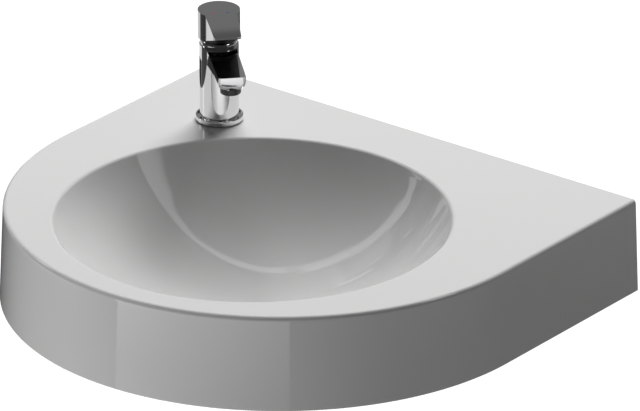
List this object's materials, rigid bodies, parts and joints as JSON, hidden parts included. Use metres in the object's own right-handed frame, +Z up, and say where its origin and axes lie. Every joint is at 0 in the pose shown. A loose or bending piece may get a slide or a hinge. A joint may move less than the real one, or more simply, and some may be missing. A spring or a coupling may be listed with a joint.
{
  "type": "wall-hung washbasin with mixer tap",
  "caption": "D-shaped wall-hung ceramic basin with a round bowl, a single-lever mixer on the rear corner of its deck and a push-open waste.",
  "frame": {"origin": "midway between the two wall fixing holes, on the basin's wall face", "axes": "+X to the right along the wall, +Y into the wall, +Z up; the room is towards -Y"},
  "size_m": [0.575, 0.5113, 0.3164],
  "materials": {
    "glaze": "glossy white glaze",
    "tap_chrome": "mirror chrome",
    "lever_chrome": "mirror chrome",
    "waste_chrome": "mirror chrome",
    "machined_brass": "machined",
    "zinc_steel": "zinc plated",
    "black_rubber": "matt",
    "white_nylon": "matt",
    "grey_plastic": "matt",
    "black_plastic": "matt",
    "red_enamel": "gloss",
    "blue_enamel": "gloss"
  },
  "bodies": {
    "basin_and_tap": {"basin": "glaze", "wall_bush_left": "white_nylon", "wall_bush_right": "white_nylon", "waste_flange": "waste_chrome", "waste_upper_seal": "black_rubber", "waste_lower_seal": "black_rubber", "waste_backnut": "white_nylon", "waste_cartridge": "grey_plastic", "tap_gasket": "black_rubber", "tap_base_ring": "tap_chrome", "tap_body": "tap_chrome", "tap_rubber_washer": "black_rubber", "tap_clamp_plate": "zinc_steel", "tap_stud": "zinc_steel", "tap_fixing_nut": "machined_brass", "aerator_ring": "tap_chrome", "aerator_insert": "black_plastic", "cartridge_housing": "grey_plastic", "cartridge_nut": "machined_brass", "tap_dome": "tap_chrome"},
    "waste_plug": {"waste_cap": "waste_chrome", "waste_cap_seal": "black_rubber", "waste_plunger": "grey_plastic"},
    "lever_carrier": {"cartridge_carrier": "grey_plastic", "cartridge_pivot_pin": "zinc_steel"},
    "lever": {"tap_handle": "lever_chrome", "cartridge_stem": "zinc_steel", "handle_screw": "zinc_steel", "hot_dot": "red_enamel", "cold_dot": "blue_enamel"}
  },
  "joints": [
    {"name": "lever_turn", "type": "hinge", "parent": "basin_and_tap", "child": "lever_carrier", "pos_m": [-0.18091, -0.09771, 0.132], "axis": [0, 0, 1], "range_deg": [-50, 50]},
    {"name": "lever_lift", "type": "hinge", "parent": "lever_carrier", "child": "lever", "pos_m": [-0.18091, -0.09771, 0.132], "axis": [-0.6833, -0.7302, 0], "range_deg": [0, 25]},
    {"name": "plug_lift", "type": "slide", "parent": "basin_and_tap", "child": "waste_plug", "axis": [0, 0, 1], "range_m": [0, 0.008]}
  ]
}
